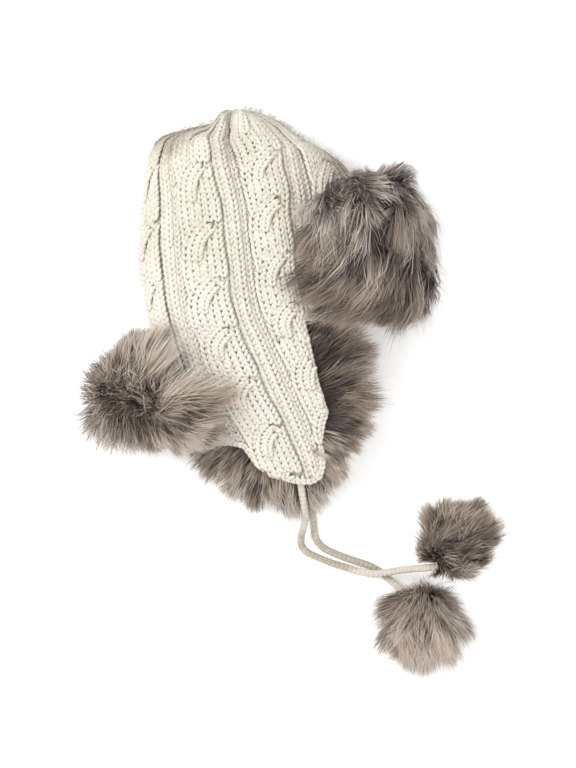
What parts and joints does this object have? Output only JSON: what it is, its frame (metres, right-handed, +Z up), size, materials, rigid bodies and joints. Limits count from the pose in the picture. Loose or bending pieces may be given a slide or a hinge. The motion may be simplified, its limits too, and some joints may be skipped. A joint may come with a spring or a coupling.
{
  "type": "cable knit trapper hat with fur cuffs and pompom ties, lying on its side",
  "caption": "Soft cable knit winter hat with fur visor, nape cuff and ear flaps, and two ties with pompoms, lying on its side.",
  "frame": {"origin": "on the surface that the hat lies on, under the middle of the hat without its ties and pompoms", "axes": "+Z up through the side of the hat that shows, +Y from the ear flaps to the top of the crown, +X from the nape to the visor"},
  "size_m": [0.4233, 0.5668, 0.1558],
  "materials": {
    "ivory_knit": "chunky wool and acrylic cable knit, matt",
    "brown_fur": "long pile faux fur, dark roots and tan tips",
    "cream_cord": "flat knitted cord, matt"
  },
  "bodies": {
    "root": {"crown_knit": "ivory_knit", "visor_fur": "brown_fur", "neck_fur": "brown_fur", "near_flap_fur": "brown_fur", "far_flap_fur": "brown_fur", "near_tie": "cream_cord", "far_tie": "cream_cord", "near_pompom": "brown_fur", "far_pompom": "brown_fur"}
  },
  "joints": []
}
